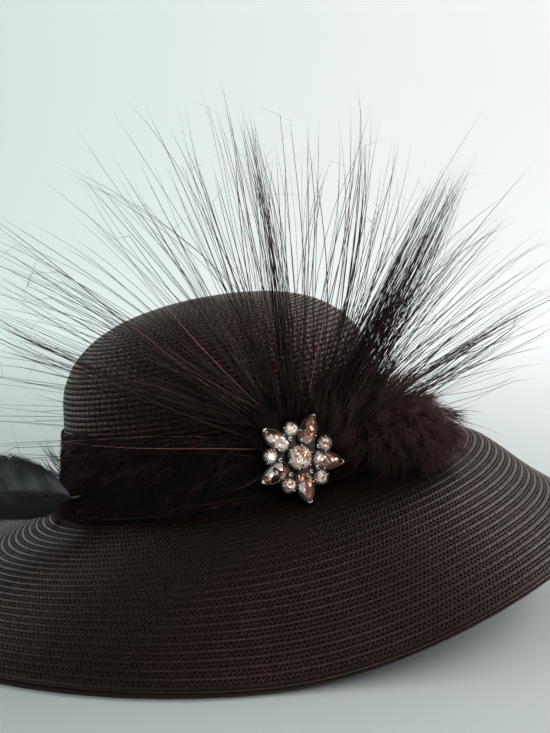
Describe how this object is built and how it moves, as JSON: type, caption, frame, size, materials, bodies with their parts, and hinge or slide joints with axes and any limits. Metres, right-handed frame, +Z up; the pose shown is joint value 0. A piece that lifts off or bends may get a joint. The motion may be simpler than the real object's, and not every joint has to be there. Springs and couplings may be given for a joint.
{
  "type": "church hat",
  "caption": "Wide-brimmed sewn-braid dress hat with a leaning crown, down band, marabou tuft, quill spray, vane feather and a jewelled star brooch.",
  "frame": {"origin": "middle of the hat's outline on the floor, with the brim's rim at height zero", "axes": "+X to the right seen from the brooch side, +Y away from the brooch side, +Z up"},
  "size_m": [0.3942, 0.3598, 0.2564],
  "materials": {
    "straw_braid": "semi-gloss",
    "down": "matte",
    "quill": "satin",
    "feather": "satin",
    "silver": "polished",
    "clear_stone": "polished",
    "smoky_stone": "polished"
  },
  "bodies": {
    "root": {"crown": "straw_braid", "brim": "straw_braid", "fur_band": "down", "marabou_tuft": "down", "quill_spray": "quill", "wing_feather": "feather", "brooch_setting": "silver", "stone_centre": "clear_stone", "stone_round_1": "clear_stone", "stone_round_2": "clear_stone", "stone_round_3": "clear_stone", "stone_round_4": "clear_stone", "stone_round_5": "clear_stone", "stone_pear_1": "smoky_stone", "stone_pear_2": "smoky_stone", "stone_pear_3": "smoky_stone", "stone_pear_4": "smoky_stone", "stone_pear_5": "smoky_stone"}
  },
  "joints": []
}
